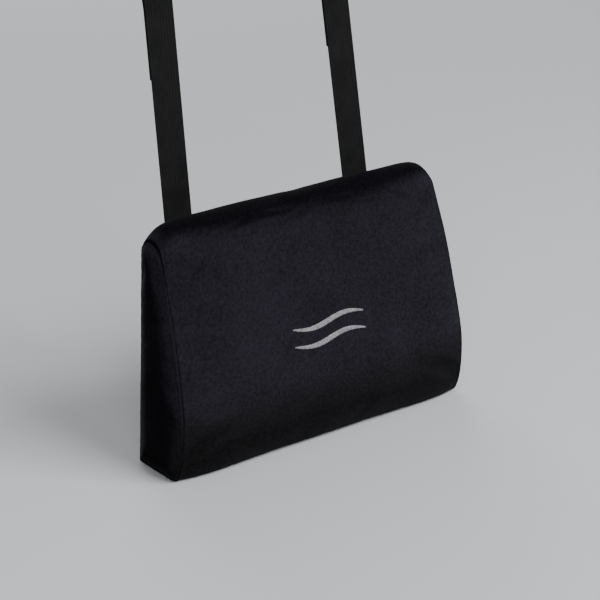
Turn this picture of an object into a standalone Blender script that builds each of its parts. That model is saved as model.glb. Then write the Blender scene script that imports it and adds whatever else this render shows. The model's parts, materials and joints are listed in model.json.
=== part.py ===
"""Lumbar support cushion: a foam wedge in a zipped velour cover, with two webbing straps, side-release
buckles and strap loops to hang it by.

Frame: the origin is the middle of the flat bottom. +X is to the right of someone who faces the cushion's
front, +Y is towards the backrest and +Z is up. Everything is in metres.
"""

import math

import bmesh
import bpy
from mathutils import Vector

MM = 0.001
GAP = 0.3 * MM  # clearance between pieces that touch
SMOOTH_UNDER = math.radians(35)  # edges that turn less than this are shaded smooth and never bevelled

# Cushion
WIDTH_BOTTOM = 335 * MM
WIDTH_TOP = 314 * MM
HEIGHT = 236 * MM
DEPTH_BOTTOM = 78 * MM
DEPTH_TOP = 38 * MM
FRONT_LEAN = math.radians(17)  # lean of the front face where it meets the top roll
TOE_DEPTH = 16 * MM  # bottom front corner, front to back
TOE_HEIGHT = 55 * MM  # bottom front corner, up the front
CORNER_REACH = 57 * MM  # how far from each side panel the wrap starts to turn in
CORNER_TURN = math.radians(65)  # how far it has turned at the side seam
CORNER_TURNS = (0, 0.25, 0.45, 0.62, 0.76, 0.87, 0.95, 1)  # shares of that turn where the wrap has a row
FRONT_PULL = 8 * MM  # how far back the front lies at the side seam
TOP_DROP = 18 * MM  # how far down the top lies at the side seam
TOP_FULLNESS = 2.5  # the drop stays this much closer to the seam than the pull does, as a power

COVER = 1.2 * MM
LINER_FROM = COVER + GAP
LINER = 0.6 * MM
FOAM_FROM = LINER_FROM + LINER + GAP
LINER_BACK = 5 * MM  # room behind the liner for the zip
LINER_MOUTH = 20 * MM  # opening in the liner's back

# Zip, in the back of the cover
ZIP_Z = 32 * MM
ZIP_MOUTH = 9 * MM  # space between the two back panels
ZIP_TAPE_HALF = 130 * MM
ZIP_TAPE = 0.6 * MM
ZIP_TAPE_WIDTH = 10 * MM
ZIP_ROW_HALF = 122 * MM
ZIP_ROW_WIDTH = 2 * MM
ZIP_ROW_DEPTH = 2.1 * MM
ZIP_SPLIT = 1.2 * MM  # space between the two rows, where the slider's web runs
ZIP_STOP = 3 * MM
SLIDER_LENGTH = 10 * MM
SLIDER_WIDTH = 8 * MM
SLIDER_PLATE = 1.2 * MM
SLIDER_START = 117 * MM
SLIDER_WEB = 3 * MM  # length of the web between its plates
SLIDER_JOIN = 0.4 * MM  # how far its joined blocks reach into each other
RIM_SETBACK = 0.1 * MM  # the rims' outer sides stay this far inside the plates
ARCH_HALF = (2 * MM, 1.2 * MM)
ARCH_HEIGHT = 2.4 * MM
ARCH_HOLE = 0.8 * MM  # half the width of the square hole
PULL_LENGTH = 24 * MM
PULL_WIDTH = 6.4 * MM
PULL_THICK = 1 * MM
PULL_BAR = 0.5 * MM  # half the thickness of its end bar
PULL_EYE = (3.4 * MM, 1.5 * MM)  # how far the eye reaches from the bar, and half its width
PULL_CORNER = 2 * MM

# Straps. Each strap's own frame starts where the webbing leaves the back panel: z runs up the webbing
# and y to its rear
STRAP_WIDTH = 30 * MM
WEBBING = 1.6 * MM
STRAP_X = 106.4 * MM
STRAP_Z = 70 * MM
STRAP_TILT = math.radians(9)  # lean to the rear
STRAP_TOE_IN = math.radians(1.4)  # lean of each strap to the middle
STRAP_ANCHOR = 24 * MM
STRAP_LENGTH = 372 * MM  # from the panel to the buckle's strap bar
TAIL_LENGTH = 95 * MM
TAIL_CLOSES = 24 * MM  # where the tail has come in to the run, below the bar
TAIL_FLAT = 34 * MM  # from here on it lies flat behind the run
TURN_END = 6 * MM  # where the webbing turn stops below the bar, on the rear side
TURN_STEPS = 8

# Side-release buckle; heights are above the centre of the male strap bar
BAR = 1.5 * MM  # radius
BUCKLE_Y = WEBBING / 2 + GAP + BAR  # the buckle's middle plane in the strap's frame
TURN_RADIUS = BUCKLE_Y
SLOT_HALF = 15.8 * MM
MALE_HALF = 19.5 * MM
MALE_THICK = 6.4 * MM
MALE_LOW = -2.5 * MM
MALE_BASE = 6 * MM
MALE_TOP = 11 * MM
MALE_CORNER = (2.5 * MM, 3 * MM)
TONGUE_HALF = 4 * MM
TONGUE_THICK = 3 * MM
TONGUE_TOP = 27 * MM
TONGUE_TAPER = (1 * MM, 2 * MM)
PRONG_X = 11.8 * MM  # the flexure, at the prong's inner root corner
PRONG_Z = MALE_TOP + GAP
PRONG_THICK = 4 * MM
PRONG_ARM = 3.4 * MM  # width of the arm; this and the next four are from the flexure
PAD_OUT = 7.6 * MM
PAD_SLOPE = 1.5 * MM
PAD_LOW = 8.7 * MM
PAD_TOP = 12.7 * MM
PRONG_TIP = 18.7 * MM
TIP_INSET = 0.4 * MM
FEMALE_HALF = 20.5 * MM
FEMALE_THICK = 9 * MM
FEMALE_LOW = 12.2 * MM
FEMALE_BASE = 34.5 * MM
FEMALE_TOP = 42.5 * MM
FEMALE_BAR_Z = 40.2 * MM
CAVITY_HALF = 17.4 * MM
CAVITY_THICK = 5 * MM
CAVITY_TOP = 31.5 * MM
WINDOW_LOW = 18.2 * MM
WINDOW_TOP = 29 * MM
SCALLOP_RADIUS = 7 * MM
SCALLOP_DEPTH = 3.5 * MM
FEMALE_CORNER = (1 * MM, 2 * MM)
MALE_SOFT = 0.8 * MM  # widths of the rounded moulded edges
PRONG_SOFT = 0.5 * MM
FEMALE_SOFT = 1.2 * MM
STOP_SOFT = 0.3 * MM

# Strap loop above the female buckle
LOOP_HALF = 13 * MM  # half the gap between its two plies at the widest, to their middles
LOOP_WIDEST = 60 * MM  # above its bar

# Generic woven mark and care label
MARK_Z = 113 * MM
MARK_HALF = 41 * MM
MARK_SWING = 3.2 * MM
MARK_BAND = 2.6 * MM  # half height of a wave
MARK_RISE = 8 * MM  # each wave's middle above or below the mark's middle
MARK_TAPER = 0.75  # how much narrower its bands are at their ends
MARK_THICK = 0.6 * MM
LABEL = (26 * MM, 0.4 * MM, 18 * MM)
LABEL_X = -148 * MM
LABEL_LOW = 6.2 * MM

BACK_Y = DEPTH_BOTTOM / 2
FRONT_Y = -DEPTH_BOTTOM / 2
TOP_RADIUS = DEPTH_TOP / 2


# ---------------------------------------------------------------- scene and meshes


def clear_scene():
    for old in list(bpy.data.objects):
        bpy.data.objects.remove(old)


def material(name, colour, roughness, metallic=0.0):
    made = bpy.data.materials.new(name)
    made.use_nodes = True
    shader = made.node_tree.nodes["Principled BSDF"]
    shader.inputs["Base Color"].default_value = (*colour, 1)
    shader.inputs["Roughness"].default_value = roughness
    shader.inputs["Metallic"].default_value = metallic
    return made


def add_object(name, points, faces, finish, parent=None, location=(0, 0, 0)):
    """A mesh object, with its faces turned to point outwards."""
    mesh = bpy.data.meshes.new(name)
    mesh.from_pydata([tuple(point) for point in points], [], faces)
    mesh.materials.append(finish)
    turn_faces_out(mesh)
    mesh.shade_smooth()
    mesh.set_sharp_from_angle(angle=SMOOTH_UNDER)
    made = bpy.data.objects.new(name, mesh)
    bpy.context.scene.collection.objects.link(made)
    made.parent = parent
    made.location = location
    return made


def turn_faces_out(mesh):
    work = bmesh.new()
    work.from_mesh(mesh)
    bmesh.ops.recalc_face_normals(work, faces=work.faces)
    work.to_mesh(mesh)
    work.free()


def add_empty(name, location, rotation):
    made = bpy.data.objects.new(name, None)
    bpy.context.scene.collection.objects.link(made)
    made.location = location
    made.rotation_euler = rotation
    return made


def ring_faces(first, second, count):
    """Quads between two closed rings of points that start at these indices."""
    return [(first + i, first + (i + 1) % count, second + (i + 1) % count, second + i) for i in range(count)]


def prism(first, second):
    """Points and faces of a solid between two matching closed outlines."""
    count = len(first)
    faces = ring_faces(0, count, count)
    faces.append(tuple(range(count))[::-1])
    faces.append(tuple(range(count, 2 * count)))
    return first + second, faces


def loft(rings):
    """Points and faces of a solid through several matching closed outlines, with both ends filled."""
    count = len(rings[0])
    points = [point for ring in rings for point in ring]
    faces = []
    for i in range(len(rings) - 1):
        faces += ring_faces(i * count, (i + 1) * count, count)
    faces.append(tuple(range(count))[::-1])
    faces.append(tuple(range(len(points) - count, len(points))))
    return points, faces


def plate(outline, low, high):
    """A flat plate whose outline is (x, z) points and whose thickness runs from y = low to y = high."""
    return prism([Vector((x, low, z)) for x, z in outline], [Vector((x, high, z)) for x, z in outline])


def box(low, high):
    (x0, y0, z0), (x1, y1, z1) = low, high
    return plate([(x0, z0), (x1, z0), (x1, z1), (x0, z1)], y0, y1)


def bar_along_x(half, radius, y, z, sides=16):
    """A round bar from x = -half to x = half."""
    rings = []
    for x in (-half, half):
        turns = [2 * math.pi * i / sides for i in range(sides)]
        rings.append([Vector((x, y + radius * math.cos(t), z + radius * math.sin(t))) for t in turns])
    return prism(*rings)


def combine(target, tool_name, tool, operation):
    """Adds a Boolean to target with a hidden tool object in the same frame."""
    cutter = add_object(tool_name, *tool, target.data.materials[0], target.parent, target.location)
    cutter.hide_render = True
    cutter.display_type = "WIRE"
    change = target.modifiers.new(tool_name, "BOOLEAN")
    change.operation = operation
    change.object = cutter


def soften(target, width, segments=2):
    """Rounds the moulded edges."""
    bevel = target.modifiers.new("Soft edges", "BEVEL")
    bevel.width = width
    bevel.segments = segments
    bevel.limit_method = "ANGLE"
    bevel.angle_limit = SMOOTH_UNDER


# ---------------------------------------------------------------- the cushion's form


def quadratic(start, control, end, share):
    """Point on a quadratic curve."""
    return start * (1 - share) ** 2 + control * 2 * share * (1 - share) + end * share**2


def front_curve():
    """Start, control and end of the front face in side view: upright at the toe, leaning at the top."""
    centre = Vector((BACK_Y - TOP_RADIUS, HEIGHT - TOP_RADIUS))
    end = centre + TOP_RADIUS * Vector((-math.cos(FRONT_LEAN), math.sin(FRONT_LEAN)))
    start = Vector((FRONT_Y, TOE_HEIGHT))
    control = Vector((FRONT_Y, end.y - (end.x - FRONT_Y) / math.tan(FRONT_LEAN)))
    return start, control, end


def front_y(z):
    """The front face's y at height z."""
    low, high = 0.0, 1.0
    for _ in range(40):
        middle = (low + high) / 2
        if quadratic(*front_curve(), middle).y < z:
            low = middle
        else:
            high = middle
    return quadratic(*front_curve(), low).x


def wrap_profile():
    """The wrap in side view as (y, z): from the bottom rear edge forwards, up the front and over the top."""
    points = [Vector((BACK_Y, 0)), Vector((0, 0))]
    toe_centre = Vector((FRONT_Y + TOE_DEPTH, TOE_HEIGHT))
    for i in range(7):
        turn = math.pi / 2 * i / 7
        points.append(toe_centre - Vector((TOE_DEPTH * math.sin(turn), TOE_HEIGHT * math.cos(turn))))
    for i in range(8):
        points.append(quadratic(*front_curve(), i / 8))
    top_centre = Vector((BACK_Y - TOP_RADIUS, HEIGHT - TOP_RADIUS))
    for i in range(11):
        turn = (math.pi - FRONT_LEAN) * (1 - i / 10)
        points.append(top_centre + TOP_RADIUS * Vector((math.cos(turn), math.sin(turn))))
    return points


def inset(profile, distance):
    """The profile moved inwards. Its ends stay level with the back, and the bottom one moves straight up."""
    moved = []
    for i, point in enumerate(profile):
        before = profile[max(i - 1, 0)]
        after = profile[min(i + 1, len(profile) - 1)]
        along = (after - before).normalized()
        moved.append(point + distance * Vector((along.y, -along.x)))
    return moved


def half_width(z):
    return (WIDTH_BOTTOM + (WIDTH_TOP - WIDTH_BOTTOM) * z / HEIGHT) / 2


def turned_in(point, turn):
    """A profile point (y, z) drawn in towards a side seam: turn is 0 on the straight run, 1 at the seam."""
    share = (1 - math.cos(turn * CORNER_TURN)) / (1 - math.cos(CORNER_TURN))
    y, z = point
    top = max(0, 2 * z / HEIGHT - 1)
    front = min(1, (BACK_Y - y) / DEPTH_TOP)
    return y + FRONT_PULL * share * front, z - TOP_DROP * top**2 * share**TOP_FULLNESS


def place(point, side, turn, end_gap=0.0):
    """A profile point in space, at that turn towards the seam on side -1 or +1."""
    y, z = turned_in(point, turn)
    reach = CORNER_REACH * (1 - math.sin(turn * CORNER_TURN) / math.sin(CORNER_TURN))
    return Vector((side * (half_width(z) - end_gap - reach), y, z))


def stations():
    """(side, turn) across the cushion, from the left seam to the right one."""
    return [(-1, turn) for turn in reversed(CORNER_TURNS)] + [(1, turn) for turn in CORNER_TURNS]


def core_profile(distance, back_gap):
    """A closed side profile inside the cover, as (y, z): the inset wrap, closed by a straight back."""
    limit = BACK_Y - back_gap
    return [Vector((min(point.x, limit), point.y)) for point in inset(wrap_profile(), distance)]


# ---------------------------------------------------------------- foam, liner and cover


def foam_core(finish):
    profile = core_profile(FOAM_FROM, LINER_BACK + LINER + GAP)
    rings = [[place(point, side, turn, FOAM_FROM) for point in profile] for side, turn in stations()]
    add_object("foam_core", *loft(rings), finish)


def shell(outer_rows, inner_rows, ends_filled):
    """Points and faces of a thin wall between two grids of rows. Its long edges are closed, and so are its
    two ends: with a cap over each grid's end row, or with a rim along it."""
    count = len(outer_rows[0])
    points = [point for row in outer_rows + inner_rows for point in row]
    inner = count * len(outer_rows)
    last = len(outer_rows) - 1
    faces = []
    for i in range(last):
        for k in range(count - 1):
            a = i * count + k
            for start in (a, inner + a):
                faces.append((start, start + 1, start + count + 1, start + count))
        for k in (0, count - 1):
            a, b = i * count + k, (i + 1) * count + k
            faces.append((a, b, inner + b, inner + a))
    for i in (0, last):
        row = [i * count + k for k in range(count)]
        if ends_filled:
            faces.append(tuple(row))
            faces.append(tuple(inner + a for a in row))
            faces.append((row[0], row[-1], inner + row[-1], inner + row[0]))
        else:
            faces += [(a, b, inner + b, inner + a) for a, b in zip(row, row[1:])]
    return points, faces


def inner_liner(finish):
    """A thin bag around the foam, open at the back behind the zip."""
    walls = []
    for depth in (0, LINER):
        back = BACK_Y - LINER_BACK - depth
        profile = [Vector((back, ZIP_Z - LINER_MOUTH / 2))]
        profile += core_profile(LINER_FROM + depth, LINER_BACK + depth)
        profile.append(Vector((back, ZIP_Z + LINER_MOUTH / 2)))
        end_gap = LINER_FROM + depth
        walls.append([[place(point, side, turn, end_gap) for point in profile] for side, turn in stations()])
    add_object("inner_liner", *shell(*walls, True), finish)


def cover_wrap(finish):
    """Front, top and bottom of the cover in one piece."""
    walls = []
    for profile in (wrap_profile(), inset(wrap_profile(), COVER)):
        walls.append([[place(point, side, turn) for point in profile] for side, turn in stations()])
    add_object("cover_wrap", *shell(*walls, False), finish)


def cover_side(name, side, finish):
    """A side panel, set flush in the end of the wrap."""
    profile = inset(wrap_profile(), COVER + GAP)
    rear_top = wrap_profile()[-1]
    profile[-1] = Vector((BACK_Y - COVER - GAP, rear_top.y))
    profile.append(Vector((BACK_Y - COVER - GAP, rear_top.y - GAP)))
    profile.append(Vector((BACK_Y, rear_top.y - GAP)))
    outer = [place(point, side, 1) for point in profile]
    inner = [place(point, side, 1, COVER) for point in profile]
    add_object(name, *prism(outer, inner), finish)


def cover_back_upper(finish):
    """The back panel above the zip. Its top edge follows the wrap's rear edge."""
    low = ZIP_Z + ZIP_MOUTH / 2
    top_edge = wrap_profile()[-1]
    outline = []
    for side, turn in stations():
        corner = place(top_edge, side, turn, COVER + GAP)
        outline.append((corner.x, corner.z - GAP))
    end = half_width(low) - COVER - GAP
    outline += [(end, low), (-end, low)]
    add_object("cover_back_upper", *plate(outline, BACK_Y - COVER, BACK_Y), finish)


def cover_back_lower(finish):
    """The back panel below the zip. Its bottom edge follows the wrap's bottom."""
    high = ZIP_Z - ZIP_MOUTH / 2
    outline = []
    for side, turn in stations():
        corner = place(Vector((BACK_Y, COVER + GAP)), side, turn, COVER + GAP)
        outline.append((corner.x, corner.z))
    end = half_width(high) - COVER - GAP
    outline += [(end, high), (-end, high)]
    add_object("cover_back_lower", *plate(outline, BACK_Y - COVER, BACK_Y), finish)


# ---------------------------------------------------------------- zip


def zip_tape(name, side, finish):
    near = ZIP_Z + side * (ZIP_SPLIT / 2 + ZIP_ROW_WIDTH + GAP)
    far = near + side * ZIP_TAPE_WIDTH
    front = BACK_Y - COVER - GAP
    low, high = sorted((near, far))
    shape = box((-ZIP_TAPE_HALF, front - ZIP_TAPE, low), (ZIP_TAPE_HALF, front, high))
    add_object(name, *shape, finish)


def zip_row(name, side, finish):
    near = ZIP_Z + side * ZIP_SPLIT / 2
    far = near + side * ZIP_ROW_WIDTH
    low, high = sorted((near, far))
    rear = row_rear()
    shape = box((-ZIP_ROW_HALF, rear - ZIP_ROW_DEPTH, low), (ZIP_ROW_HALF, rear, high))
    add_object(name, *shape, finish)


def row_rear():
    """The y of the zip rows' outer side. The rows are centred on the tape."""
    return BACK_Y - COVER - GAP - ZIP_TAPE / 2 + ZIP_ROW_DEPTH / 2


def zip_stop(name, side, finish):
    half = ZIP_SPLIT / 2 + ZIP_ROW_WIDTH
    start, end = sorted((side * (ZIP_ROW_HALF + GAP), side * (ZIP_ROW_HALF + GAP + ZIP_STOP)))
    rear = row_rear()
    shape = box((start, rear - ZIP_ROW_DEPTH, ZIP_Z - half), (end, rear, ZIP_Z + half))
    stop = add_object(name, *shape, finish)
    soften(stop, STOP_SOFT, 1)


def zip_slider(metal):
    """Two plates joined by a thin web between the rows, with rims that hold the tape and an arch."""
    rear = row_rear()
    inner = rear - ZIP_ROW_DEPTH - GAP - SLIDER_PLATE
    outer = rear + GAP
    half = SLIDER_LENGTH / 2
    wide = SLIDER_WIDTH / 2
    join = SLIDER_JOIN
    tape_rear = BACK_Y - COVER - GAP
    tape_front = tape_rear - ZIP_TAPE
    web = ZIP_SPLIT / 2 - GAP
    arch_x, arch_z = ARCH_HALF

    frame = add_empty("zip_frame", (SLIDER_START, 0, ZIP_Z), (0, 0, 0))
    body = box((-half, outer, -wide), (half, outer + SLIDER_PLATE, wide))
    slider = add_object("zip_slider", *body, metal, frame)
    arch_top = outer + SLIDER_PLATE + ARCH_HEIGHT
    blocks = {
        "slider_inner_plate": box((-half, inner, -wide), (half, inner + SLIDER_PLATE, wide)),
        "slider_web": box((half - SLIDER_WEB, inner + join, -web), (half - join, outer + join, web)),
        "slider_arch": box((-arch_x, outer + join, -arch_z), (arch_x, arch_top, arch_z)),
    }
    rim_near = ZIP_SPLIT / 2 + ZIP_ROW_WIDTH + GAP
    rim_far = wide - RIM_SETBACK
    end = half - join
    for side, word in ((-1, "low"), (1, "high")):
        low, high = sorted((side * rim_near, side * rim_far))
        blocks[f"slider_outer_rim_{word}"] = box((-end, tape_rear + GAP, low), (end, outer + join, high))
        blocks[f"slider_inner_rim_{word}"] = box((-end, inner + join, low), (end, tape_front - GAP, high))
    for tool_name, tool in blocks.items():
        combine(slider, tool_name, tool, "UNION")
    hinge = pull_hinge_y()
    cut = box((-ARCH_HOLE, hinge - ARCH_HOLE, -2 * arch_z), (ARCH_HOLE, hinge + ARCH_HOLE, 2 * arch_z))
    combine(slider, "slider_pull_hole", cut, "DIFFERENCE")
    return frame


def pull_hinge_y():
    return row_rear() + GAP + SLIDER_PLATE + GAP + PULL_THICK / 2


def zip_pull(metal, frame):
    """A flat tab with a square eye, whose end bar runs through the slider's arch. It rests along -X."""
    half = PULL_WIDTH / 2
    corner_x = PULL_CORNER - PULL_LENGTH
    corner_z = half - PULL_CORNER
    outline = [(PULL_BAR, -half), (PULL_BAR, half), (corner_x, half), (-PULL_LENGTH, corner_z)]
    outline += [(-PULL_LENGTH, -corner_z), (corner_x, -half)]
    hinge = (0, pull_hinge_y(), 0)
    shape = plate(outline, -PULL_THICK / 2, PULL_THICK / 2)
    pull = add_object("zip_pull", *shape, metal, frame, hinge)
    reach, wide = PULL_EYE
    window = box((-reach, -PULL_THICK, -wide), (-PULL_BAR, PULL_THICK, wide))
    combine(pull, "pull_eye", window, "DIFFERENCE")


# ---------------------------------------------------------------- straps and buckles


def ribbon(path, half):
    """A band of webbing through (y, z) points, from x = -half to x = half."""
    normals = []
    for i in range(len(path)):
        before = path[max(i - 1, 0)]
        after = path[min(i + 1, len(path) - 1)]
        along = (Vector(after) - Vector(before)).normalized()
        normals.append(Vector((-along.y, along.x)))
    side_a = [Vector(p) + n * WEBBING / 2 for p, n in zip(path, normals)]
    side_b = [Vector(p) - n * WEBBING / 2 for p, n in zip(path, normals)]
    outline = side_a + side_b[::-1]
    first = [Vector((-half, y, z)) for y, z in outline]
    second = [Vector((half, y, z)) for y, z in outline]
    count = len(path)
    points = first + second
    faces = ring_faces(0, 2 * count, 2 * count)
    for start in (0, 2 * count):
        for i in range(count - 1):
            j = 2 * count - 1 - i
            faces.append((start + i, start + i + 1, start + j - 1, start + j))
    return points, faces


def closed_ribbon(path, half):
    """A closed band of webbing around a loop of (y, z) points."""
    count = len(path)
    rings = []
    for offset in (WEBBING / 2, -WEBBING / 2):
        for x in (-half, half):
            ring = []
            for i in range(count):
                along = (Vector(path[(i + 1) % count]) - Vector(path[i - 1])).normalized()
                y, z = Vector(path[i]) + Vector((-along.y, along.x)) * offset
                ring.append(Vector((x, y, z)))
            rings.append(ring)
    points = [point for ring in rings for point in ring]
    faces = []
    for first, second in ((0, 1), (1, 3), (3, 2), (2, 0)):
        faces += ring_faces(first * count, second * count, count)
    return points, faces


def strap_pieces(word, finish, frame):
    """The long run, the turn around the buckle's bar and the loose tail behind it."""
    half = STRAP_WIDTH / 2
    bar = (0, 0, STRAP_LENGTH)
    anchor = (STRAP_ANCHOR * math.sin(STRAP_TILT), -STRAP_ANCHOR * math.cos(STRAP_TILT))
    run = [anchor, (0, 0), (0, STRAP_LENGTH / 2), (0, STRAP_LENGTH - GAP / 2)]
    add_object(f"strap_run_{word}", *ribbon(run, half), finish, frame)

    turn = []
    for i in range(TURN_STEPS + 1):
        angle = math.pi * i / TURN_STEPS
        turn.append((TURN_RADIUS * (1 - math.cos(angle)), GAP / 2 + TURN_RADIUS * math.sin(angle)))
    turn.append((2 * TURN_RADIUS, -TURN_END))
    add_object(f"strap_turn_{word}", *ribbon(turn, half), finish, frame, bar)

    close = WEBBING + GAP
    tail = [(2 * TURN_RADIUS, -TURN_END - GAP), (close + GAP, -TAIL_CLOSES)]
    tail += [(close, -TAIL_FLAT), (close, -TAIL_LENGTH)]
    add_object(f"strap_tail_{word}", *ribbon(tail, half), finish, frame, bar)


def mirrored(half_outline):
    """A whole (x, z) outline from its +X half, which runs from the bottom up."""
    return half_outline + [(-x, z) for x, z in reversed(half_outline)]


def buckle_male(word, finish, frame):
    corner_x, corner_z = MALE_CORNER
    right = [(SLOT_HALF, MALE_BASE), (SLOT_HALF, MALE_LOW), (MALE_HALF, MALE_LOW)]
    right += [(MALE_HALF, MALE_TOP - corner_z), (MALE_HALF - corner_x, MALE_TOP)]
    origin = (0, BUCKLE_Y, STRAP_LENGTH)
    shape = plate(mirrored(right), -MALE_THICK / 2, MALE_THICK / 2)
    male = add_object(f"buckle_male_{word}", *shape, finish, frame, origin)
    soften(male, MALE_SOFT)
    combine(male, f"male_bar_{word}", bar_along_x(SLOT_HALF + MM, BAR, 0, 0), "UNION")
    taper_x, taper_z = TONGUE_TAPER
    right = [(TONGUE_HALF, MALE_TOP - MM), (TONGUE_HALF, TONGUE_TOP - taper_z)]
    right.append((TONGUE_HALF - taper_x, TONGUE_TOP))
    shape = plate(mirrored(right), -TONGUE_THICK / 2, TONGUE_THICK / 2)
    combine(male, f"male_tongue_{word}", shape, "UNION")


def buckle_prong(name, side, finish, frame):
    """A springy side arm with its finger pad. Its origin is its flexure, at the inner corner of its root."""
    outline = [(0, 0), (PRONG_ARM, 0), (PRONG_ARM, PAD_LOW - PAD_SLOPE), (PAD_OUT, PAD_LOW)]
    outline += [(PAD_OUT, PAD_TOP), (PRONG_ARM, PRONG_TIP), (TIP_INSET, PRONG_TIP), (0, PAD_TOP)]
    shape = [(side * x, z) for x, z in outline]
    origin = (side * PRONG_X, BUCKLE_Y, STRAP_LENGTH + PRONG_Z)
    prong = add_object(name, *plate(shape, -PRONG_THICK / 2, PRONG_THICK / 2), finish, frame, origin)
    soften(prong, PRONG_SOFT)


def buckle_female(word, finish, frame):
    corner_x, corner_z = FEMALE_CORNER
    right = [(FEMALE_HALF - corner_x, FEMALE_LOW), (FEMALE_HALF, FEMALE_LOW + corner_z)]
    right += [(FEMALE_HALF, FEMALE_BASE), (FEMALE_HALF - corner_x, FEMALE_TOP)]
    right += [(SLOT_HALF, FEMALE_TOP), (SLOT_HALF, FEMALE_BASE)]
    origin = (0, BUCKLE_Y, STRAP_LENGTH)
    half = FEMALE_THICK / 2
    shape = plate(mirrored(right), -half, half)
    female = add_object(f"buckle_female_{word}", *shape, finish, frame, origin)
    soften(female, FEMALE_SOFT)
    combine(female, f"female_bar_{word}", bar_along_x(SLOT_HALF + MM, BAR, 0, FEMALE_BAR_Z), "UNION")
    deep = CAVITY_THICK / 2
    cavity = box((-CAVITY_HALF, -deep, FEMALE_LOW - MM), (CAVITY_HALF, deep, CAVITY_TOP))
    combine(female, f"female_cavity_{word}", cavity, "DIFFERENCE")
    for side, edge in ((-1, "a"), (1, "b")):
        near, far = sorted((side * (CAVITY_HALF - MM), side * (FEMALE_HALF + MM)))
        window = box((near, -deep, WINDOW_LOW), (far, deep, WINDOW_TOP))
        combine(female, f"female_window_{edge}_{word}", window, "DIFFERENCE")
        scallop = plate(scallop_outline(side), -half - MM, half + MM)
        combine(female, f"female_scallop_{edge}_{word}", scallop, "DIFFERENCE")


def scallop_outline(side):
    """The circle that cuts a finger hollow into the female half's side."""
    x = side * (FEMALE_HALF + SCALLOP_RADIUS - SCALLOP_DEPTH)
    z = (WINDOW_LOW + WINDOW_TOP) / 2
    turns = [2 * math.pi * i / 24 for i in range(24)]
    return [(x + SCALLOP_RADIUS * math.cos(turn), z + SCALLOP_RADIUS * math.sin(turn)) for turn in turns]


def strap_loop(word, finish, frame):
    """A closed band of webbing through the female buckle, open enough for a post or a hook."""
    inner = BAR + GAP + WEBBING / 2
    half_path = []
    for i in range(1, 4):
        angle = math.pi / 2 * i / 3
        half_path.append((-inner * math.sin(angle), -inner * math.cos(angle)))
    for i in range(1, 7):
        share = i / 6
        spread = inner + (LOOP_HALF - inner) * math.sin(share * math.pi / 2)
        half_path.append((-spread, LOOP_WIDEST * share))
    for i in range(1, 6):
        angle = math.pi / 2 * i / 6
        half_path.append((-LOOP_HALF * math.cos(angle), LOOP_WIDEST + LOOP_HALF * math.sin(angle)))
    top = [(0, LOOP_WIDEST + LOOP_HALF)]
    path = [(0, -inner)] + half_path + top + [(-y, z) for y, z in reversed(half_path)]
    origin = (0, BUCKLE_Y, STRAP_LENGTH + FEMALE_BAR_Z)
    add_object(f"strap_loop_{word}", *closed_ribbon(path, STRAP_WIDTH / 2), finish, frame, origin)


# ---------------------------------------------------------------- trim


def mark_wave(name, height, finish):
    """One band of the woven mark: a shallow wave that narrows to both ends, laid on the front face."""
    columns = 17
    front = []
    back = []
    for i in range(columns):
        share = -1 + 2 * i / (columns - 1)
        middle = MARK_Z + height + MARK_SWING * math.sin(share * math.pi)
        band = MARK_BAND * (1 - MARK_TAPER * share**2)
        for z in (middle - band, middle + band):
            face = front_y(z) - GAP
            front.append(Vector((share * MARK_HALF, face - MARK_THICK, z)))
            back.append(Vector((share * MARK_HALF, face, z)))
    points = front + back
    total = len(front)
    faces = []
    for i in range(columns - 1):
        a = 2 * i
        quad = (a, a + 1, a + 3, a + 2)
        faces.append(quad)
        faces.append(tuple(total + index for index in quad))
        faces.append((a, a + 2, total + a + 2, total + a))
        faces.append((a + 1, a + 3, total + a + 3, total + a + 1))
    for a in (0, total - 2):
        faces.append((a, a + 1, total + a + 1, total + a))
    add_object(name, points, faces, finish)


def care_label(finish):
    wide, thick, tall = LABEL
    near = BACK_Y + GAP
    shape = box((LABEL_X, near, LABEL_LOW), (LABEL_X + wide, near + thick, LABEL_LOW + tall))
    add_object("care_label", *shape, finish)


# ---------------------------------------------------------------- assembly


def build_cushion():
    velour = material("velour", (0.014, 0.013, 0.019), 0.95)
    foam_core(material("memory_foam", (0.75, 0.72, 0.6), 0.9))
    inner_liner(material("liner_fabric", (0.6, 0.6, 0.6), 0.9))
    cover_wrap(velour)
    cover_side("cover_side_left", -1, velour)
    cover_side("cover_side_right", 1, velour)
    cover_back_upper(velour)
    cover_back_lower(velour)
    thread = material("mark_thread", (0.3, 0.3, 0.31), 0.5)
    mark_wave("mark_wave_upper", MARK_RISE, thread)
    mark_wave("mark_wave_lower", -MARK_RISE, thread)
    care_label(material("label_satin", (0.8, 0.8, 0.78), 0.5))


def build_zip():
    tape = material("zip_tape", (0.012, 0.012, 0.014), 0.9)
    coil = material("zip_coil", (0.02, 0.02, 0.022), 0.4)
    metal = material("zip_metal", (0.05, 0.05, 0.055), 0.35, 0.9)
    for word, side in (("upper", 1), ("lower", -1)):
        zip_tape(f"zip_tape_{word}", side, tape)
        zip_row(f"zip_row_{word}", side, coil)
    zip_stop("zip_stop_closed_end", 1, metal)
    zip_stop("zip_stop_open_end", -1, metal)
    frame = zip_slider(metal)
    zip_pull(metal, frame)


def build_straps():
    webbing = material("webbing", (0.018, 0.018, 0.019), 0.8)
    nylon = material("buckle_nylon", (0.015, 0.015, 0.016), 0.45)
    start_y = BACK_Y + GAP + WEBBING / 2
    for word, side in (("left", -1), ("right", 1)):
        tilt = (-STRAP_TILT, -side * STRAP_TOE_IN, 0)
        frame = add_empty(f"strap_frame_{word}", (side * STRAP_X, start_y, STRAP_Z), tilt)
        strap_pieces(word, webbing, frame)
        buckle_male(word, nylon, frame)
        buckle_prong(f"buckle_prong_outer_{word}", side, nylon, frame)
        buckle_prong(f"buckle_prong_inner_{word}", -side, nylon, frame)
        buckle_female(word, nylon, frame)
        strap_loop(word, webbing, frame)


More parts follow.
